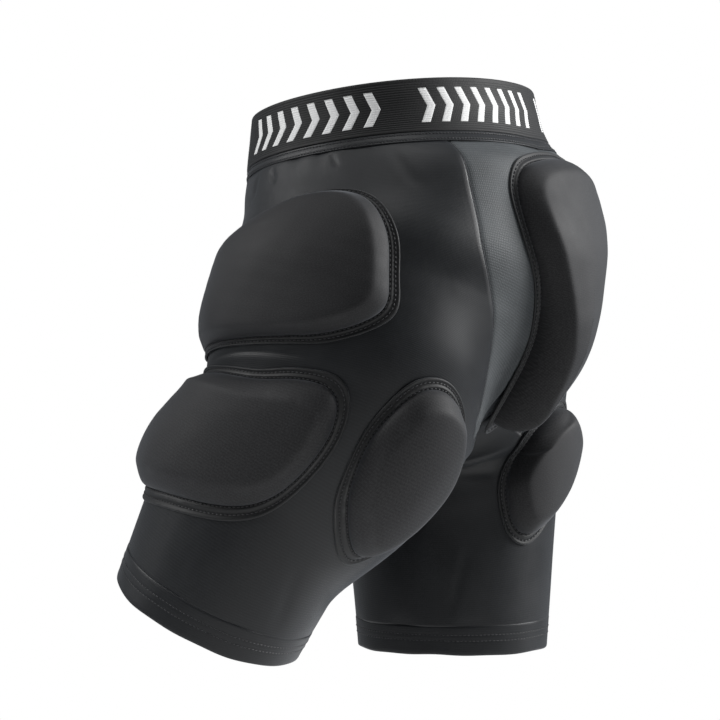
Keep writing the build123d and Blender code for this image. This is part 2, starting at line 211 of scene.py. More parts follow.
def seam_edge(z):
    return table_at(SEAM, np.asarray(z, float))[..., 0]


class Stance:
    """One side of the shorts: which side it is, and how far its leg is raised."""

    def __init__(self, name, side, turn):
        self.name, self.side, self.turn = name, side, turn

    def place(self, p):
        x, y, z = p[..., 0], p[..., 1], p[..., 2]
        share = ease((x * SHARE_X + (z - SHARE_START_Z) * SHARE_Z) / SHARE_LENGTH)
        angle = np.radians(self.turn) * share
        z = z - HINGE_Z + PULL_UP * share * self.turn / LEFT_RAISE
        turned_y = y * np.cos(angle) + z * np.sin(angle)
        turned_z = HINGE_Z - y * np.sin(angle) + z * np.cos(angle)
        return np.stack([self.side * x, turned_y, turned_z], -1)

    def point(self, angle, z, offset=0.0):
        angle, z = np.broadcast_arrays(np.asarray(angle, float), np.asarray(z, float))
        step = 0.6
        around = self.place(straight(angle + step, z)) - self.place(straight(angle - step, z))
        up = self.place(straight(angle, z + step)) - self.place(straight(angle, z - step))
        out = np.cross(around, up) * self.side
        out /= np.linalg.norm(out, axis=-1, keepdims=True)
        return self.place(straight(angle, z)) + out * np.asarray(offset, float)[..., None]


LEFT = Stance("left", 1, LEFT_RAISE)
RIGHT = Stance("right", -1, 0.0)
SIDES = (LEFT, RIGHT)


# Meshes

class Patch:
    """A grid of points with a matching grid of cloth coordinates in millimetres."""

    def __init__(self, points, uv, flip=False, wrap=False, highlight_mask=None):
        self.points, self.uv, self.flip, self.wrap, self.highlight_mask = points, uv, flip, wrap, highlight_mask

    def faces(self):
        n, m = self.points.shape[:2]
        index = np.arange(n * m).reshape(n, m)
        far = np.roll(index, -1, axis=0) if self.wrap else index[1:]
        near = index if self.wrap else index[:-1]
        quads = np.stack([near[:, :-1], near[:, 1:], far[:, 1:], far[:, :-1]], -1).reshape(-1, 4)
        return quads[:, ::-1] if self.flip else quads


def mesh_object(name, patches, material, weld=True):
    """One mesh from several patches, joined where their points coincide."""
    points = np.concatenate([p.points.reshape(-1, 3) for p in patches])
    uv = np.concatenate([p.uv.reshape(-1, 2) for p in patches]) * MM
    highlight_mask = np.concatenate([
        np.zeros(p.points.shape[:2]).ravel() if p.highlight_mask is None else p.highlight_mask.ravel() for p in patches
    ])
    faces, start = [], 0
    for patch in patches:
        faces.append(patch.faces() + start)
        start += patch.points.shape[0] * patch.points.shape[1]
    faces = np.concatenate(faces)
    corners = uv[faces]
    if weld:
        _, first, inverse = np.unique(
            np.round(points, 3), axis=0, return_index=True, return_inverse=True)
        points, highlight_mask, faces = points[first], highlight_mask[first], inverse.reshape(-1)[faces]
    a, b, c, d = faces.T
    whole = (a != b) & (b != c) & (c != d) & (d != a) & (a != c) & (b != d)
    loops, loop_uv = faces[whole].tolist(), [corners[whole].reshape(-1, 2)]
    for face, face_uv in zip(faces[~whole].tolist(), corners[~whole]):
        triangle = list(dict.fromkeys(face))
        if len(triangle) == 3:
            loops.append(triangle)
            loop_uv.append(face_uv[[face.index(k) for k in triangle]])
    mesh = bpy.data.meshes.new(name)
    mesh.from_pydata((points * MM).tolist(), [], loops)
    layer = mesh.uv_layers.new(name="UVMap")
    layer.data.foreach_set("uv", np.concatenate(loop_uv).ravel())
    # Each point's share of the painted highlight, read by the pad and binding materials.
    worn = mesh.attributes.new("worn", "FLOAT", "POINT")
    worn.data.foreach_set("value", highlight_mask)
    mesh.polygons.foreach_set("use_smooth", np.ones(len(mesh.polygons), bool))
    mesh.validate()
    mesh.materials.append(material)
    obj = bpy.data.objects.new(name, mesh)
    bpy.context.scene.collection.objects.link(obj)
    return obj


def mesh_area(obj):
    return sum(p.area for p in obj.data.polygons)


def thicken(obj, thickness):
    solid = obj.modifiers.new("thickness", "SOLIDIFY")
    solid.thickness = thickness * MM
    solid.offset = -1.0
    solid.use_rim = True


def arc(points):
    """Length of each line of points along the first axis."""
    return np.linalg.norm(np.diff(points, axis=0), axis=-1).sum(0)


def drop(points):
    """Length of each line of points along the second axis."""
    return arc(points.transpose(1, 0, 2))


def run_along(path):
    """Distance along a path to each of its points."""
    return np.concatenate([[0], np.cumsum(np.linalg.norm(np.diff(path, axis=0), axis=1))])


LEAST_FILL, MOST_FILL = 0.32, 0.98


def cloth_sheet(width, length, area):
    """Rounds a sheet's cut size from millimetres to metres and keeps its flat area in square metres
    within a share of it; nothing further is done with them.
    """
    width, length = round(width * MM, 4), round(length * MM, 4)
    area = min(max(area, LEAST_FILL * width * length), MOST_FILL * width * length)


def follow(obj):
    """Bakes the piece's placement into its mesh."""
    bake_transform(obj)


def profile_ring(columns, levels, offsets, to_point):
    """A closed band: each column is a closed loop of (level, offset)."""
    levels, offsets = np.append(levels, levels[0]), np.append(offsets, offsets[0])
    return to_point(columns[:, None], levels[None, :], offsets[None, :])


# A stitch from end to end: place along it, and how full it is there
STITCH_SHAPE = ((-1.0, 0.0), (-0.82, 0.7), (-0.45, 1.0), (0.45, 1.0), (0.82, 0.7), (1.0, 0.0))
STITCH_TURNS = np.linspace(0, 2 * pi, 7)
STITCH_CROWN, STITCH_TIP = 0.25, 0.05


def thread_row(path, out, pitch, length, radius):
    """Single stitches along a path of points, as a list of patches."""
    run = run_along(path)
    centres = np.arange(0.5 * pitch, run[-1] - 0.4 * pitch, pitch)

    def at(s, values):
        return np.stack([np.interp(s, run, values[:, k]) for k in range(3)], -1)

    middle, up = at(centres, path), at(centres, out)
    along = at(centres + 0.4, path) - at(centres - 0.4, path)
    along /= np.linalg.norm(along, axis=1, keepdims=True)
    up -= along * (up * along).sum(1, keepdims=True)
    up /= np.linalg.norm(up, axis=1, keepdims=True)
    patches = []
    for c, a, u, s in zip(middle, along, up, np.cross(along, up)):
        circle = np.outer(np.cos(STITCH_TURNS), u) + np.outer(np.sin(STITCH_TURNS), s)
        rows = []
        for place, swell in STITCH_SHAPE:
            lift = u * radius * STITCH_CROWN * (1 - place * place)
            ring = c + a * place * length / 2 + lift
            rows.append(ring + circle * radius * max(swell, STITCH_TIP))
        uv = np.stack(np.meshgrid(np.arange(len(STITCH_TURNS)) * 0.4, np.arange(len(rows)) * 0.5), -1)
        patches.append(Patch(np.array(rows), uv))
    return patches


# Materials

class Graph:
    """Small helper for building one node material."""

    def __init__(self, name):
        self.material = bpy.data.materials.new(name)
        self.material.use_nodes = True
        self.tree = self.material.node_tree
        self.shader = self.tree.nodes["Principled BSDF"]

    def node(self, kind, inputs=(), **settings):
        made = self.tree.nodes.new("ShaderNode" + kind)
        for key, value in settings.items():
            setattr(made, key, value)
        for key, value in dict(inputs).items():
            if isinstance(value, bpy.types.NodeSocket):
                self.tree.links.new(value, made.inputs[key])
            else:
                made.inputs[key].default_value = value
        return made

    def maths(self, operation, a, b):
        return self.node("Math", {0: a, 1: b}, operation=operation).outputs[0]

    def ramp(self, value, low, high, to_low=0.0, to_high=1.0):
        inputs = {
            "Value": value, "From Min": low, "From Max": high, "To Min": to_low, "To Max": to_high,
        }
        return self.node("MapRange", inputs).outputs[0]

    def noise(self, uv, scale, detail, roughness=0.5):
        inputs = {"Vector": uv, "Scale": scale, "Detail": detail, "Roughness": roughness}
        return self.node("TexNoise", inputs).outputs["Fac"]

    def mix(self, factor, a, b):
        """A mix of two colours; in this mode the node's colours are inputs 6 and 7, output 2."""
        made = self.node("Mix", {"Factor": factor}, data_type="RGBA")
        for key, value in ((6, a), (7, b)):
            if isinstance(value, bpy.types.NodeSocket):
                self.tree.links.new(value, made.inputs[key])
            else:
                made.inputs[key].default_value = (*value, 1.0)
        return made.outputs[2]

    def set(self, **values):
        for key, value in values.items():
            self.shader.inputs[key.replace("_", " ")].default_value = value

    def colour(self, socket):
        self.tree.links.new(socket, self.shader.inputs["Base Color"])

    def roughness(self, socket):
        self.tree.links.new(socket, self.shader.inputs["Roughness"])

    def bump(self, height, distance, strength):
        made = self.node("Bump", {"Height": height, "Distance": distance, "Strength": strength})
        self.tree.links.new(made.outputs[0], self.shader.inputs["Normal"])


GRAIN_SCALE, CLOUD_SCALE, HIGHLIGHT_PATCH_SCALE = 1100.0, 26.0, 140.0
CROSS_RIB = 0.62
SHEEN_TINT = (0.8, 0.86, 0.95, 1.0)


def woven(name, dark, light, pitch, relief, rough, sheen,
          grain=0.5, cloud=0.35, worn=None, edge=0.15):
    """A fine stretch knit: crossed ribs, a grain, cloudy colour, a soft sheen, and where asked a
    painted highlight.
    """
    g = Graph(name)
    uv = g.node("TexCoord").outputs["UV"]
    scale = 2 * pi / (20 * pitch * MM)
    bands = []
    for direction, share in (("X", 1.0), ("Y", CROSS_RIB)):
        rib = {"Vector": uv, "Scale": scale * share, "Distortion": 0.6, "Detail": 1.0}
        bands.append(g.node("TexWave", rib, bands_direction=direction).outputs["Fac"])
    weave = g.maths("MULTIPLY", bands[0], bands[1])
    fine, broad = g.noise(uv, GRAIN_SCALE, 2.0), g.noise(uv, CLOUD_SCALE, 4.0, 0.6)
    mixed = g.maths("ADD", g.maths("MULTIPLY", weave, 1 - grain), g.maths("MULTIPLY", fine, grain))
    knit = g.ramp(mixed, edge, 1 - edge, 0.0, 1 - cloud)
    tone = g.maths("ADD", knit, g.ramp(broad, 0.3, 0.7, 0.0, cloud))
    colour = g.mix(tone, dark, light)
    # Painted highlight: the colour is lifted to the given highlight colour where the mesh's per-point
    # mask is high, broken into noisy patches.
    if worn is not None:
        mark = g.node("Attribute", attribute_name="worn").outputs["Fac"]
        highlight_patches = g.ramp(g.noise(uv, HIGHLIGHT_PATCH_SCALE, 5.0, 0.7), 0.35, 0.75)
        colour = g.mix(g.maths("MULTIPLY", mark, highlight_patches), colour, worn)
    g.colour(colour)
    g.roughness(g.ramp(broad, 0.25, 0.75, rough - 0.05, rough + 0.07))
    g.bump(mixed, relief * MM, 0.8)
    g.set(Sheen_Weight=sheen, Sheen_Roughness=0.45, Specular_IOR_Level=0.35)
    g.shader.inputs["Sheen Tint"].default_value = SHEEN_TINT
    return g.material


SHELL = woven(
    "shell_spandex", (0.0055, 0.0062, 0.0074), (0.0165, 0.0182, 0.0208),
    pitch=0.9, relief=0.10, rough=0.42, sheen=0.14, edge=0.25)
SEAT = woven(
    "seat_spandex", (0.036, 0.040, 0.043), (0.132, 0.144, 0.152),
    pitch=1.3, relief=0.35, rough=0.58, sheen=0.05, grain=0.65, edge=0.25)
# The pad and binding colours end with a lighter colour for the painted highlights on their ridges and
# crests.
PAD = woven(
    "pad_knit", (0.0045, 0.0044, 0.0050), (0.0285, 0.0280, 0.0300), pitch=0.8, relief=0.14,
    rough=0.64, sheen=0.16, grain=0.8, cloud=0.25, worn=(0.06, 0.06, 0.062), edge=0.33)
BINDING = woven(
    "pad_binding", (0.006, 0.0062, 0.0066), (0.016, 0.0165, 0.0172),
    pitch=0.9, relief=0.12, rough=0.55, sheen=0.16, worn=(0.11, 0.11, 0.11))
ELASTIC = woven(
    "band_elastic", (0.003, 0.0031, 0.0033), (0.0115, 0.0118, 0.0125),
    pitch=1.1, relief=0.20, rough=0.60, sheen=0.10)
# The thread is a grey lighter than the black cloth: partly its own dark colour, partly a painted
# highlight that makes the stitches show.
THREAD = woven(
    "black_thread", (0.026, 0.026, 0.028), (0.085, 0.085, 0.09),
    pitch=0.5, relief=0.05, rough=0.38, sheen=0.05)
WHITE = woven(
    "white_weave", (0.80, 0.80, 0.80), (0.97, 0.97, 0.96),
    pitch=1.1, relief=0.20, rough=0.7, sheen=0.1, cloud=0.2)


# Shell

# Folds in the cloth: from one (angle, level) to another, then width and depth
WAIST_FOLDS = (
    (-46, -58, -34, -74, 2.6, 1.3), (-62, -60, -57, -82, 3.2, 0.8),
    (18, -57, 24, -70, 2.4, 0.7), (60, -60, 66, -98, 4.0, 0.7),
)
GROIN_FOLDS = (
    (-148, -262, -96, -262, 5.0, 2.2), (-142, -248, -100, -236, 4.5, 1.5),
    (-140, -282, -96, -292, 4.5, 1.2), (-50, -279, 12, -279, 3.2, 0.9),
    (-148, -236, -118, -206, 5.0, 0.9),
)
LEG_FOLDS = (
    (120, -276, 98, -262, 4.0, 0.9), (150, -292, 128, -300, 4.0, 1.0),
    (166, -300, 178, -352, 6.0, 0.8), (142, -352, 152, -398, 6.0, 0.7),
    (60, -366, 66, -400, 6.0, 0.7), (-100, -384, -112, -402, 5.0, 0.7),
)
# How deep the groin's folds stay on a straight leg
STRAIGHT_FOLD = 0.35
# A distance to a seam that isn't there
FAR = 99.0


def crease(angle, z, a0, z0, a1, z1, width, amount):
    """A dent along a line from one (angle, level) to another."""
    x, y = (angle - a0) * DEGREE, z - z0
    dx, dy = (a1 - a0) * DEGREE, z1 - z0
    t = np.clip((x * dx + y * dy) / (dx * dx + dy * dy), 0, 1)
    d = np.hypot(x - t * dx, y - t * dy)
    return amount * np.exp(-(d / width) ** 2) * (1 - 0.75 * np.abs(2 * t - 1) ** 3)


def wrinkles(stance, angle, z):
    """Soft hollows in the cloth in millimetres, never outwards: puckers and folds."""
    angle, z = np.broadcast_arrays(np.asarray(angle, float), np.asarray(z, float))
    pucker = 0.5 + 0.5 * np.sin(np.radians(angle * 9.3) + 1.4 * np.sin(np.radians(angle * 3.1)))
    depth = 0.9 * pucker ** 2 * np.exp((z - PANEL_TOP) / 9.0)
    soft = np.sin(np.radians(angle * 2.3) + z * 0.043) * np.sin(z * 0.031 + 1.0 + np.radians(angle))
    depth = depth + 0.55 * (0.5 + 0.5 * soft)
    bent = STRAIGHT_FOLD + (1 - STRAIGHT_FOLD) * (stance.turn / LEFT_RAISE)
    for folds, share in ((WAIST_FOLDS, 1.0), (GROIN_FOLDS, bent), (LEG_FOLDS, 1.0)):
        for *line, amount in folds:
            depth = depth + crease(angle, z, *line, amount * share)
    by_hem = np.exp(-((z - (HEM + HEM_HEIGHT)) / 5.0) ** 2)
    return -(depth + 0.5 * by_hem * (0.5 + 0.5 * np.sin(np.radians(angle * 8) + 1)) ** 2)


def seam_dip(angle, z):
    """How far the cloth dips into the seams round the seat panel and down the middle."""
    high = z > CROTCH - 1
    seam, front, back = seam_edge(z), front_edge(z), back_edge(z)
    share = (angle - seam) / (back - seam)
    beside = np.where(high, np.abs(angle - seam) * DEGREE, FAR)
    under = np.where((share > -0.02) & high, np.abs(z - seat_bottom(np.clip(share, 0, 1))), FAR)
    middle = np.minimum(np.abs(angle - front), np.abs(angle - back)) * DEGREE
    middle = np.where(high, middle, FAR)
    inner = np.where(np.abs(angle) >= LEG_ROUND_TO - 0.5, np.abs(z - CROTCH), FAR)
    near = np.minimum(np.minimum(beside, under), np.minimum(middle, inner))
    by_tape = np.exp(-((z - PANEL_TOP) / 2.0) ** 2)
    return -0.65 * np.exp(-(near / 1.4) ** 2) - 0.5 * by_tape


SEAM_SHARES = np.array([0.004, 0.010, 0.018])


def spread(count):
    """Shares from 0 to 1, closer together at both ends, which meet a seam."""
    shares = np.concatenate([np.linspace(0, 1, count), SEAM_SHARES, 1 - SEAM_SHARES])
    return np.unique(np.round(shares, 5))


SEAT_RISE, SEAT_CURVE = 78.0, 1.6


def seat_bottom(share):
    """Level of the seat panel's lower edge: at the crotch by the side seam, higher behind."""
    return CROTCH + SEAT_RISE * np.asarray(share, float) ** SEAT_CURVE


def seat_row(share, row):
    """Level of a row of the seat panel; row runs 0..1 downwards."""
    return PANEL_TOP + (seat_bottom(share) - PANEL_TOP) * row


def under_seat_row(share, row):
    """Level of a row between the seat panel and the crotch; row runs 0..1 downwards."""
    return seat_bottom(share) + (CROTCH - seat_bottom(share)) * row


# Levels of the shell's rows, closer together at its seams
UPPER_ROWS = np.concatenate([
    [PANEL_TOP, PANEL_TOP - 1, PANEL_TOP - 2.2], np.linspace(PANEL_TOP - 4, CROTCH + 4, 92),
    [CROTCH + 2.2, CROTCH + 1, CROTCH],
])
LOWER_ROWS = np.concatenate([
    [CROTCH, CROTCH - 1, CROTCH - 2.2], np.linspace(CROTCH - 4, HEM + HEM_HEIGHT - 0.5, 52),
])
SIDE_COLUMNS, SEAT_COLUMNS = spread(96), spread(34)
# Where the shell's cut size is measured: round the thigh, and down the side
GIRTH_ROW, HEIGHT_COLUMN = 4, 48
ON_MIDDLE = 0.05


def cloth_patch(stance, shares, rows, first, last, middle_columns=(), level=None):
    """Part of the shell between two edges, each a function of the level."""
    shares, rows = shares[:, None], rows[None, :]
    z = rows + 0 * shares if level is None else level(shares, rows)
    start, end = first(z), last(z)
    angle = start + (end - start) * shares
    wrapped = np.where(angle > 180, angle - 360, angle)
    offset = FABRIC + wrinkles(stance, wrapped, z) + seam_dip(wrapped, z)
    points = stance.point(angle, z, offset)
    for column in middle_columns:
        across = np.abs(straight(angle[column], z[column])[..., 0])
        points[column, (z[column] > CROTCH) & (across < ON_MIDDLE), 0] = 0
    return Patch(points, np.stack([angle * DEGREE, z], -1), flip=stance.side < 0)


def constant(value):
    """An edge that has the same angle at every level."""
    return lambda z: value + 0 * z


def shell(stance):
    """Side panel, groin, thigh and inner thigh of one side, in one piece of cloth."""
    seam, inner_front = constant(float(seam_edge(CROTCH))), constant(-LEG_ROUND_TO)
    inner_back, round_again = constant(LEG_ROUND_TO), constant(360 - LEG_ROUND_TO)
    patches = [
        cloth_patch(stance, SIDE_COLUMNS, UPPER_ROWS, front_edge, seam_edge, (0,)),
        cloth_patch(stance, SIDE_COLUMNS, LOWER_ROWS, inner_front, seam),
        cloth_patch(stance, SEAT_COLUMNS, LOWER_ROWS, seam, inner_back),
        cloth_patch(stance, SEAT_COLUMNS, spread(14), seam_edge, back_edge, level=under_seat_row),
        cloth_patch(stance, spread(24), LOWER_ROWS, inner_back, round_again),
    ]
    obj = mesh_object(f"{stance.name}_shell", patches, SHELL)
    area = mesh_area(obj)
    girth = sum(arc(patches[k].points)[GIRTH_ROW] for k in (1, 2, 4))
    height = sum(drop(patches[k].points)[HEIGHT_COLUMN] for k in (0, 1))
    thicken(obj, FABRIC)
    follow(obj)
    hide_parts(*(f"{stance.name}_{n}" for n in ("hip_panel", "hip_stretch_zone", "leg_panel")))
    cloth_sheet(girth, height, area)


def seat(stance):
    rows = (PANEL_TOP - UPPER_ROWS) / (PANEL_TOP - CROTCH)
    patch = cloth_patch(stance, SEAT_COLUMNS, rows, seam_edge, back_edge, (-1,), seat_row)
    obj = mesh_object(f"{stance.name}_seat", [patch], SEAT)
    area = mesh_area(obj)
    width, height = arc(patch.points).max(), drop(patch.points).max()
    thicken(obj, FABRIC)
    follow(obj)
    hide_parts(f"{stance.name}_seat_panel")
    cloth_sheet(width, height, area)


SEAM_THREAD = FABRIC - 0.75


def seat_seam(stance):
    """Thread down the seam beside the seat panel and along the bottom of it."""
    z = np.linspace(PANEL_TOP - 2, CROTCH + 0.6, 240)
    shares = np.linspace(0.01, 0.97, 80)
    low = seat_bottom(shares)
    across = seam_edge(low) + (back_edge(low) - seam_edge(low)) * shares
    patches = []
    for angle, level in ((seam_edge(z), z), (across, low)):
        offset = SEAM_THREAD + wrinkles(stance, angle, level)
        path = stance.point(angle, level, offset)
        out = stance.point(angle, level, offset + 1) - path
        patches += thread_row(path, out, pitch=2.9, length=2.6, radius=0.38)
    obj = mesh_object(f"{stance.name}_seat_seam_thread", patches, THREAD, weld=False)
    follow(obj)
    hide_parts(f"{stance.name}_seat_seam_stitching")


GUSSET_TOP, GUSSET_WIDTH, GUSSET_CROWN = -232.0, 16.0, 1.2
GUSSET_SINK, GUSSET_HALF = 0.9, 0.35


def gusset():
    """The strip between the two inner thighs and up to where the two halves meet."""
    rise = np.linspace(GUSSET_TOP, CROTCH + 0.5, 26)
    inner = np.linspace(LEG_ROUND_TO, 360 - LEG_ROUND_TO, 41)
    angle = np.concatenate([360 + front_edge(rise), inner[::-1], back_edge(rise[::-1])])
    level = np.concatenate([rise, np.full_like(inner, CROTCH), rise[::-1]])
    wrapped = np.where(angle > 180, angle - 360, angle)
    left, right = (
        stance.point(angle, level, FABRIC - GUSSET_SINK + wrinkles(stance, wrapped, level))
        for stance in SIDES)
    left[:, 0] = np.maximum(left[:, 0], GUSSET_HALF)
    right[:, 0] = np.minimum(right[:, 0], -GUSSET_HALF)
    shares = np.linspace(0, 1, 11)
    points = left[:, None] * (1 - shares[None, :, None]) + right[:, None] * shares[None, :, None]
    points[..., 2] += GUSSET_CROWN * (1 - (2 * shares - 1) ** 2)
    run = run_along(left)
    uv = np.stack(np.broadcast_arrays(run[:, None], shares[None, :] * GUSSET_WIDTH), -1)
    obj = mesh_object("gusset", [Patch(points, uv, flip=True)], SHELL)
    area = mesh_area(obj)
    thicken(obj, FABRIC)
    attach(obj, "pelvis")
    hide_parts("crotch_gusset")
    cloth_sheet(run[-1], drop(points).max(), area)


# The hem's section: height over the leg's lower edge, and offset from the body form
HEM_PROFILE = (
    (22.0, 0.4), (22.0, 0.8), (21.4, 1.15), (20.9, 1.26), (19.6, 1.26), (17.0, 1.28), (16.1, 1.26),
    (15.4, 1.16), (14.7, 1.26), (13.9, 1.3), (12.5, 1.3), (11.7, 1.28), (11.0, 1.18), (10.3, 1.28),
    (9.4, 1.32), (4.0, 1.45), (1.6, 1.55), (0.4, 1.4), (-0.15, 1.0), (-0.15, 0.6), (0.4, 0.2),
    (1.6, 0.0), (6.0, 0.0), (12.0, 0.0), (18.0, 0.0), (21.4, 0.1),
)
HEM_ROWS = (15.4, 11.0)
HEM_THREAD = 1.25
# Cloth in millimetres for one degree round the hem
HEM_DEGREE = 1.35
# Allowances on the cut widths of the hem, the band and the tape
HEM_ALLOWANCE, BAND_ALLOWANCE, TAPE_ALLOWANCE = 2.0, 2.0, 3.0


def hem_point(stance):
    """How a point of the hem's section, in a gently waving edge, comes to lie round the leg."""
    def to_point(angle, height, offset):
        wave = 0.35 * np.sin(np.radians(angle * 5)) + 0.25 * np.sin(np.radians(angle * 11) + 2)
        level = HEM + height + wave * (1 - height / HEM_HEIGHT)
        return stance.point(angle + 0 * height, level, offset + 0 * angle)
    return to_point


def leg_hem(stance):
    heights, offsets = np.array(HEM_PROFILE).T
    columns = np.linspace(-180, 180, 241)
    to_point = hem_point(stance)
    points = profile_ring(columns, heights, offsets, to_point)
    run = run_along(np.vstack([HEM_PROFILE, HEM_PROFILE[:1]]))
    uv = np.stack(np.broadcast_arrays(columns[:, None] * HEM_DEGREE, run[None, :]), -1)
    obj = mesh_object(f"{stance.name}_hem", [Patch(points, uv, flip=stance.side < 0)], SHELL)
    follow(obj)
    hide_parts(f"{stance.name}_leg_hem")
    cloth_sheet(arc(points).max(), HEM_HEIGHT + HEM_ALLOWANCE, mesh_area(obj) / 2)
    patches = []
    turn = np.linspace(-180, 180, 500)
    for height in HEM_ROWS:
        path = to_point(turn, height, HEM_THREAD)
        out = to_point(turn, height, HEM_THREAD + 1) - path
        patches += thread_row(path, out, pitch=3.2, length=2.4, radius=0.34)
    thread = mesh_object(f"{stance.name}_hem_thread", patches, THREAD, weld=False)
    follow(thread)
    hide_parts(f"{stance.name}_hem_stitching")


# Waist

WAIST_COLUMNS = np.linspace(0, 2, 421)
HALF_WAIST = 363.0
RIB_TOP, RIB_BOTTOM, RIB_PITCH = -2.4, -BAND_HEIGHT + 2.0, 1.9
RIB_LOW, RIB_RELIEF = 1.75, 0.32
# The band's section above and below its ribs: (level, offset)
BAND_RIM = ((-0.1, 0.3), (0.0, 1.1), (-0.5, 1.8), (-1.3, 2.05))
BAND_FOOT = ((-43.4, 1.9), (-44.1, 1.4), (-44.1, 0.6), (-43.4, 0.1))


def waist_point(share, z, offset):
    """share runs 0..1 down the left side from front to back, then 1..2 up the right side."""
    share, z, offset = np.broadcast_arrays(share, z, offset)
    back = np.where(share > 1, 2 - share, share)
    angle = front_edge(z) + (back_edge(z) - front_edge(z)) * back
    left, right = LEFT.point(angle, z, offset), RIGHT.point(angle, z, offset)
    points = np.where((share > 1)[..., None], right, left)
    points[..., 0] *= ease(np.minimum(back, 1 - back) * 400)
    return points


def waist_strip(name, profile, material):
    """A strip all the way round the waist; profile is its section as (level, offset)."""
    levels, offsets = np.asarray(profile).T
    points = profile_ring(WAIST_COLUMNS, levels, offsets, waist_point)
    closed = np.append(levels, levels[0])
    uv = np.stack(np.broadcast_arrays(WAIST_COLUMNS[:, None] * HALF_WAIST, closed[None, :]), -1)
    return mesh_object(name, [Patch(points, uv)], material), arc(points).max()


def rib(z):
    """How high the band's woven ribs stand at a level, 0 to 1."""
    return 0.5 + 0.5 * np.cos((z - RIB_TOP) * 2 * pi / RIB_PITCH)


def waistband():
    face = np.linspace(RIB_TOP, RIB_BOTTOM, int(round((RIB_TOP - RIB_BOTTOM) / RIB_PITCH * 4)) + 1)
    lining = np.linspace(-40, -2, 12)
    obj, length = waist_strip("waistband", np.concatenate([
        BAND_RIM, np.stack([face, RIB_LOW + RIB_RELIEF * rib(face)], -1),
        BAND_FOOT, np.stack([lining, np.zeros(12)], -1),
    ]), ELASTIC)
    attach(obj, "pelvis")
    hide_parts("waistband_elastic")
    cloth_sheet(length, BAND_HEIGHT + BAND_ALLOWANCE, mesh_area(obj) / 2)


MARK_GROUPS, MARKS_EACH = 5, 8
MARK_START, MARK_PITCH, MARK_GAP = 114.0, 15.25, 0.5
MARK_WIDTH, MARK_SLOPE = 6.5, 6.0
MARK_TOP, MARK_MIDDLE, MARK_LOW = -8.0, -22.0, -36.0
MARK_BASE, MARK_RELIEF = 1.78, 0.30
# A mark's section: share across it, and lift over the ribs
MARK_SHARES = np.array([0.0, 0.0, 0.06, 0.3, 0.5, 0.7, 0.94, 1.0, 1.0])
MARK_LIFT = np.array([-0.3, 0.0, 0.14, 0.16, 0.16, 0.16, 0.14, 0.0, -0.3])


def mark_start(group, mark, half):
    """Where a mark starts round the band, moved on where it would cross a middle line."""
    start = MARK_START + 2 * half * group / MARK_GROUPS + MARK_PITCH * mark
    for middle in (half, 2 * half):
        if middle - MARK_WIDTH - MARK_SLOPE < start < middle:
            start = middle + MARK_GAP
    return start % (2 * half)


def waist_marks():
    """Plain chevrons woven into the band, in even groups, none across a middle line."""
    turn = np.linspace(front_edge(MARK_MIDDLE), back_edge(MARK_MIDDLE), 500)
    run = run_along(straight(turn, MARK_MIDDLE))
    half = run[-1]
    upper = np.linspace(MARK_TOP, MARK_MIDDLE, 30)
    down = np.concatenate([upper, np.linspace(MARK_MIDDLE, MARK_LOW, 30)[1:]])
    lean = MARK_SLOPE * (1 - np.abs(down - MARK_MIDDLE) / (MARK_TOP - MARK_MIDDLE))
    offset = MARK_BASE + (MARK_RELIEF * rib(down))[None, :] + MARK_LIFT[:, None]
    patches = []
    for place in range(MARK_GROUPS * MARKS_EACH):
        start = mark_start(*divmod(place, MARKS_EACH), half)
        stance = LEFT if start < half else RIGHT
        distance = start + MARK_WIDTH * MARK_SHARES[:, None] + lean[None, :]
        along = distance if stance is LEFT else 2 * half - distance
        share = (np.interp(along, run, turn) - turn[0]) / (turn[-1] - turn[0])
        levels = down[None, :] + 0 * share
        angle = front_edge(levels) + (back_edge(levels) - front_edge(levels)) * share
        points = stance.point(angle, levels, offset)
        patches.append(Patch(points, np.stack([distance, levels], -1)))
    obj = mesh_object("waistband_chevrons", patches, WHITE)
    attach(obj, "pelvis")
    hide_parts("waistband_marks")


# The tape's section: (level, offset)
TAPE_PROFILE = (
    (-44.4, 0.4), (-44.2, 1.0), (-44.7, 1.38), (-45.4, 1.3), (-46.2, 1.1), (-47.0, 1.3), (-48.4, 1.42),
    (-50.0, 1.42), (-50.7, 1.3), (-51.3, 1.1), (-51.9, 1.3), (-52.6, 1.4), (-53.1, 1.25), (-53.2, 0.85),
    (-52.6, 0.5), (-48.0, 0.3),
)
TAPE_ROWS = (-46.2, -51.3)
TAPE_THREAD = 1.3


def waist_tape():
    obj, length = waist_strip("waist_tape", TAPE_PROFILE, SHELL)
    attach(obj, "pelvis")
    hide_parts("waist_seam_tape")
    cloth_sheet(length, TAPE_HEIGHT + TAPE_ALLOWANCE, mesh_area(obj) / 2)
    patches = []
    columns = np.linspace(0, 2, 3000)
    for level in TAPE_ROWS:
        path = waist_point(columns, level, TAPE_THREAD)
        out = waist_point(columns, level, TAPE_THREAD + 1) - path
        patches += thread_row(path, out, pitch=2.7, length=2.2, radius=0.34)
    thread = mesh_object("waist_thread", patches, THREAD, weld=False)
    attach(thread, "pelvis")
    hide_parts("waist_stitching")


# Pads

RING_POINTS = 260
MOVE_STEP = 0.5


def smooth_ring(ring, amount, times):
    for _ in range(times):
        ring = ring + amount * ((np.roll(ring, 1, 0) + np.roll(ring, -1, 0)) / 2 - ring)
    return ring


def even_ring(ring, count):
    closed = np.vstack([ring, ring[:1]])
    run = run_along(closed)
    goal = np.linspace(0, run[-1], count + 1)[:-1]
    return np.stack([np.interp(goal, run, closed[:, k]) for k in range(2)], -1)


def inward(ring):
    """The direction from each point of a ring to its inside."""
    along = np.roll(ring, -1, 0) - np.roll(ring, 1, 0)
    along /= np.linalg.norm(along, axis=1, keepdims=True)
    return np.stack([-along[:, 1], along[:, 0]], -1)


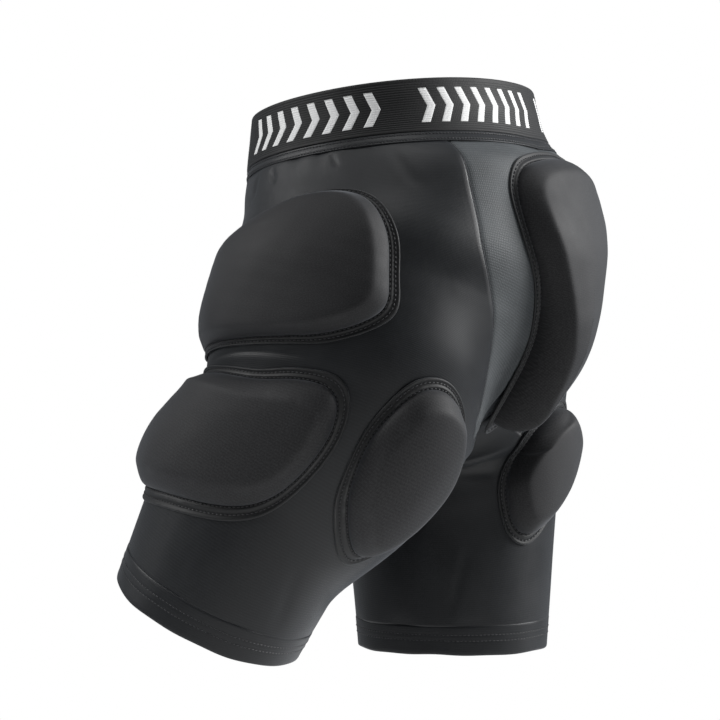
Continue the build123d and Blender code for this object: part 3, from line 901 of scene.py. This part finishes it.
def outline_ring(points, reach):
    """A smooth closed line through the outline's points, in millimetres."""
    knots = np.array([(a * reach, z) for a, z in points])
    before, after = np.roll(knots, 1, 0), np.roll(knots, -1, 0)
    further = np.roll(knots, -2, 0)
    t = np.linspace(0, 1, 24, endpoint=False)[:, None, None]
    ring = 0.5 * (
        2 * knots + (after - before) * t + (2 * before - 5 * knots + 4 * after - further) * t ** 2
        + (3 * knots - before - 3 * after + further) * t ** 3
    )
    ring = ring.transpose(1, 0, 2).reshape(-1, 2)
    ring = smooth_ring(even_ring(ring, RING_POINTS), 0.5, 10)
    x, y = ring.T
    turn = np.sum(x * np.roll(y, -1) - y * np.roll(x, -1))
    return ring if turn > 0 else ring[::-1]


def inner_rings(ring, depths):
    """The ring moved inwards to each depth, kept smooth on the way, in the order given."""
    made, depth = {}, 0.0
    for goal in sorted(set(depths)):
        while depth < goal - 1e-6:
            move = min(MOVE_STEP, goal - depth)
            ring = even_ring(smooth_ring(ring + inward(ring) * move, 0.35, 2), len(ring))
            depth += move
        made[goal] = ring
    return [made[goal] for goal in depths]


# Sections of a pad's bound edge and of its cover: (depth inside the outline, height)
BINDING_PROFILE = (
    (0.3, 0.0), (0.0, 0.5), (0.05, 1.1), (0.4, 1.6), (0.9, 1.75), (1.4, 1.6), (1.8, 1.2), (2.3, 1.05),
    (3.4, 1.1), (3.9, 1.35), (4.4, 1.8), (5.0, 2.05), (5.6, 1.8), (5.95, 1.35), (6.2, 1.35), (6.5, 1.7),
    (6.6, 1.2), (6.6, 0.6), (6.3, 0.1), (4.0, 0.0), (2.0, 0.0),
)
BINDING_ROWS = ((2.75, 1.3), (6.1, 1.6))
THREAD_POINTS = 700
# The binding's cut size: its width, and the point of its section where its length is measured
BINDING_CUT, EDGE_ROW = 12.0, 4
COVER_PROFILE = (
    (6.9, 0.2), (6.7, 1.2), (6.75, 2.6), (7.0, 4.2), (7.5, 5.8), (8.3, 7.3), (9.4, 8.8), (10.8, 10.4),
    (12.4, 12.0), (14.0, 13.5), (15.2, 14.5), (16.3, 15.2), (17.5, 15.7), (19.0, 16.0), (21.0, 16.2),
)
COVER_TOP = 17.1
# The binding gets a painted highlight where it stands higher than this
CREST = 1.6
# How far outside its outline the bound edge starts, before its rings are moved inwards
OVERHANG = 0.35
# Shares of the cover's underside, from its rim to its middle
UNDER_SHARES = (1.0, 0.97, 0.8, 0.6, 0.4, 0.2, 0.0)
UNDER_HEIGHTS = (0.2, 0.0, 0.0, 0.0, 0.0, 0.0, 0.0)
TOP_SHARES = np.linspace(1, 0, 15)[1:]


class Pad:
    """A sewn pad: its outline in flat millimetres, and how that lies on the body."""

    def __init__(self, name, points, reach, to_surface, stance, seed, swell=None):
        self.name, self.reach, self.to_surface, self.stance = name, reach, to_surface, stance
        self.seed, self.swell = seed, swell
        self.ring = outline_ring(points, reach)

    def finish(self, obj, nodes):
        if self.stance is None:
            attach(obj, "pelvis")
        else:
            follow(obj)
        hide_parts(*nodes)

    def surface(self, rings, heights):
        """Points on the body for rings in the flat and a height over it for each of their points."""
        rings = np.asarray(rings)
        offset = PAD_BASE + np.asarray(heights)
        return self.to_surface(rings[..., 0] / self.reach, rings[..., 1], offset)

    def cover(self):
        depths, heights = (list(column) for column in zip(*COVER_PROFILE))
        rings, rim_height = inner_rings(self.ring, depths), heights[-1]
        last, centre = rings[-1], rings[-1].mean(0)
        rings += [centre + (last - centre) * share for share in TOP_SHARES]
        heights += [COVER_TOP - (COVER_TOP - rim_height) * share ** 2 for share in TOP_SHARES]
        x, y = np.moveaxis(np.asarray(rings), -1, 0)
        slow = np.sin(x * 0.045 + self.seed) * np.sin(y * 0.052 + 2 * self.seed)
        fine = np.sin(x * 0.19 + 3 * self.seed + y * 0.11) * np.sin(y * 0.23 - x * 0.07)
        up = np.array(heights)[:, None] + 0 * x
        up = up + (0.35 * slow + 0.10 * fine) * ease((up - 3) / 8)
        if self.swell is not None:
            up = np.where(up > 2, 2 + (up - 2) * self.swell(x / self.reach, y), up)
        top = self.surface(rings, up)
        # Painted highlight along the cover's shoulder ridge, about 15 mm in from the outline, in
        # patches.
        past_rim = [30.0] * len(TOP_SHARES)
        ridge = np.exp(-((np.asarray(depths + past_rim) - 15.0) / 2.6) ** 2)
        patchy = 0.25 + 0.75 * ease(0.5 + 0.6 * np.sin(x * 0.05 + y * 0.03 + self.seed))
        highlight_mask = 0.3 * ridge[:, None] * patchy
        lower = np.array([centre + (rings[0] - centre) * share for share in UNDER_SHARES])
        under = self.surface(lower, np.array(UNDER_HEIGHTS)[:, None] + 0 * lower[..., 0])
        patches = [
            self.patch(top, np.stack([x, y], -1), highlight_mask=highlight_mask.T),
            self.patch(under, lower, flip=True),
        ]
        obj = mesh_object(self.name + "_face", patches, PAD)
        self.finish(obj, (self.name + "_cover", self.name + "_foam"))

    def patch(self, points, uv, flip=False, highlight_mask=None):
        """A closed run of rings as a patch; its faces point outwards on both sides of the body."""
        points, uv = points.transpose(1, 0, 2), uv.transpose(1, 0, 2)
        return Patch(points, uv, flip=flip ^ (self.stance is LEFT), wrap=True, highlight_mask=highlight_mask)

    def binding(self):
        profile = BINDING_PROFILE + BINDING_PROFILE[:1]
        depths, heights = (np.array(column) for column in zip(*profile))
        start = self.ring - OVERHANG * inward(self.ring)
        rings = np.asarray(inner_rings(start, list(depths + OVERHANG)))
        points = self.surface(rings, heights[:, None] + 0 * rings[..., 0])
        run = np.arange(len(self.ring)) * np.linalg.norm(self.ring[1] - self.ring[0])
        uv = np.stack(np.broadcast_arrays(run[None, :], depths[:, None]), -1)
        # Painted highlight on the binding's raised crests, stronger and weaker along its length.
        crest_highlight = 0.6 * (0.5 + 0.5 * np.sin(run[None, :] * 0.06 + self.seed)) ** 2
        highlight_mask = np.where(heights > CREST, 1.0, 0.0)[:, None] * crest_highlight
        obj = mesh_object(self.name + "_edge", [self.patch(points, uv, highlight_mask=highlight_mask.T)], BINDING)
        area = mesh_area(obj) / 2
        self.finish(obj, (self.name + "_binding",))
        perimeter = run_along(np.vstack([points[EDGE_ROW], points[EDGE_ROW][:1]]))[-1]
        cloth_sheet(perimeter, BINDING_CUT, area)

    def thread(self):
        patches = []
        for depth, height in BINDING_ROWS:
            ring = even_ring(inner_rings(self.ring, [depth])[0], THREAD_POINTS)
            ring = np.vstack([ring, ring[:1]])
            level = np.full(len(ring), height)
            path, above = self.surface([ring], [level])[0], self.surface([ring], [level + 1])[0]
            patches += thread_row(path, above - path, pitch=3.4, length=2.3, radius=0.42)
        obj = mesh_object(self.name + "_thread", patches, THREAD, weld=False)
        self.finish(obj, (self.name + "_stitching",))

    def build(self):
        self.cover()
        self.binding()
        self.thread()


def hip_swell(angle, z):
    """The hip pad thins towards the front, and most of all at its sloping top."""
    top = np.interp(angle, (-76, -60, -40, -17, 4), (-156, -138, -125, -112, -101))
    sloping = 0.62 * (1 - ease((top - z) / 42)) * ease((10 - angle) / 45)
    low = 0.55 * ease((-angle - 26) / 40) * (1 - ease((z + 268) / 40))
    return (1 - 0.5 * ease((-angle - 36) / 38)) * (1 - sloping) * (1 - low)


def thigh_swell(angle, z):
    """The thigh pad thins a little towards the top of the front."""
    return 1 - 0.08 * ease((-angle - 30) / 40) * ease((z + 350) / 50)


def hamstring_swell(angle, z):
    """The back pad of the straight leg is fullest at its top."""
    return 1.22 + 0.04 * ease((z + 360) / 80)


def seat_swell(x, z):
    """The seat pad is fuller low down, where it bridges the hollow of the seat."""
    return 1.05 + 0.35 * ease((-z - 80) / 60) + 0.85 * ease((-z - 140) / 60)


def side_pad(stance, kind, points, seed, shift=0.0, swell=None):
    outline = np.array(points, float) + (shift, 0.0)
    angle, z = outline.mean(0)
    reach = np.linalg.norm(stance.point(angle + 1, z) - stance.point(angle - 1, z)) / 2
    Pad(f"{stance.name}_{kind}", outline, reach, stance.point, stance, seed, swell).build()


SEAT_BRIDGE, MIDDLE_RISE = 17.0, 1.1
NO_TURN = Stance("pelvis", 1, 0.0)


def seat_surface(x, z, offset):
    """Points over the back; the pad bridges the hollow along the middle."""
    x, z, offset = np.broadcast_arrays(x, z, offset)
    out = np.hypot(x, SEAT_BRIDGE)
    angle, _ = halve(
        np.full(x.shape, 45.0), back_edge(z),
        lambda middle: straight(middle, z)[..., 0] > out, times=26)
    base = NO_TURN.point(angle, z, 0.0)
    normal = NO_TURN.point(angle, z, 1.0) - base
    normal[..., 0] *= np.abs(x) / out
    normal /= np.linalg.norm(normal, axis=-1, keepdims=True)
    raised = offset + MIDDLE_RISE * (1 - (x / out) ** 2)
    base[..., 0] = np.abs(x)
    points = base + normal * raised[..., None]
    points[..., 0] *= np.where(x < 0, -1, 1)
    return points


# Scene around the object

FLOOR_SIZE, FLOOR_LEVEL = 1.6, -0.68
FLOOR_GLOW = 0.8
SOFT_LIGHT, SOFT_STRENGTH = (0.94, 0.97, 1.0, 1.0), 0.17
WHITE_LIGHT = (1.0, 1.0, 1.0, 1.0)
LIGHT_TARGET = Vector((0, 0, -0.2))


def stage():
    """A pale floor and a soft sky, both white where the camera looks at them."""
    bpy.ops.mesh.primitive_plane_add(size=FLOOR_SIZE, location=(0, 0, FLOOR_LEVEL))
    floor = bpy.context.object
    floor.name = "floor"
    g = Graph("floor_paint")
    g.set(Base_Color=(0.86, 0.86, 0.86, 1.0), Roughness=0.9, Specular_IOR_Level=0.1)
    path = g.node("LightPath").outputs["Is Camera Ray"]
    white = g.node("Emission", {"Color": WHITE_LIGHT}).outputs[0]
    seen = g.maths("MULTIPLY", path, FLOOR_GLOW)
    mixed = g.node("MixShader", {0: seen, 1: g.shader.outputs[0], 2: white}).outputs[0]
    g.tree.links.new(mixed, g.tree.nodes["Material Output"].inputs[0])
    floor.data.materials.append(g.material)
    world = bpy.data.worlds.new("studio")
    world.use_nodes = True
    tree = world.node_tree
    soft, plain = tree.nodes["Background"], tree.nodes.new("ShaderNodeBackground")
    for sky, colour, strength in ((soft, SOFT_LIGHT, SOFT_STRENGTH), (plain, WHITE_LIGHT, 1.0)):
        sky.inputs[0].default_value = colour
        sky.inputs[1].default_value = strength
    path, mixed = tree.nodes.new("ShaderNodeLightPath"), tree.nodes.new("ShaderNodeMixShader")
    tree.links.new(path.outputs["Is Camera Ray"], mixed.inputs[0])
    tree.links.new(soft.outputs[0], mixed.inputs[1])
    tree.links.new(plain.outputs[0], mixed.inputs[2])
    tree.links.new(mixed.outputs[0], tree.nodes["World Output"].inputs[0])
    bpy.context.scene.world = world
    bpy.context.scene.view_settings.view_transform = "Standard"


def light(name, place, size, energy):
    data = bpy.data.lights.new(name, "AREA")
    data.shape = "RECTANGLE"
    data.size, data.size_y = size
    data.energy = energy
    lamp = bpy.data.objects.new(name, data)
    bpy.context.scene.collection.objects.link(lamp)
    lamp.location = place
    lamp.rotation_euler = (LIGHT_TARGET - Vector(place)).to_track_quat("-Z", "Y").to_euler()


VIEW_ANGLE = radians(28.0)
CAMERA_DISTANCE, CAMERA_SHIFT, CAMERA_LEVEL = 1.880, 0.029, -0.197
SENSOR_WIDTH, LENS = 36.0, 120.5


def camera():
    towards = Vector((cos(VIEW_ANGLE), sin(VIEW_ANGLE), 0))
    right = Vector((-sin(VIEW_ANGLE), cos(VIEW_ANGLE), 0))
    up = Vector((0, 0, 1))
    data = bpy.data.cameras.new("camera")
    data.sensor_width = SENSOR_WIDTH
    data.lens = LENS
    obj = bpy.data.objects.new("camera", data)
    bpy.context.scene.collection.objects.link(obj)
    place = towards * CAMERA_DISTANCE - right * CAMERA_SHIFT
    matrix = Matrix((right, up, towards)).transposed().to_4x4()
    matrix.translation = (place.x, place.y, CAMERA_LEVEL)
    obj.matrix_world = matrix
    bpy.context.scene.camera = obj


for stance in SIDES:
    shell(stance)
    seat(stance)
    seat_seam(stance)
    leg_hem(stance)
    side_pad(stance, "hip_pad", HIP_PAD, 0.7 + stance.side, swell=hip_swell)
    side_pad(stance, "thigh_pad", THIGH_PAD, 2.1 + stance.side, swell=thigh_swell)
    fuller = hamstring_swell if stance is RIGHT else None
    shift = HAMSTRING_SHIFT[stance.name]
    side_pad(stance, "hamstring_pad", HAMSTRING_PAD, 3.4 + stance.side, shift, fuller)
gusset()
waistband()
waist_marks()
waist_tape()
Pad("seat_pad", SEAT_PAD, 1.0, seat_surface, None, 1.3, seat_swell).build()

stage()
light("key", (-1.3, 2.1, 0.65), (1.0, 1.6), 92)
light("left", (1.5, -1.9, 1.1), (1.0, 1.6), 44)
light("top", (0.9, 0.5, 2.1), (1.4, 1.4), 17)
camera()
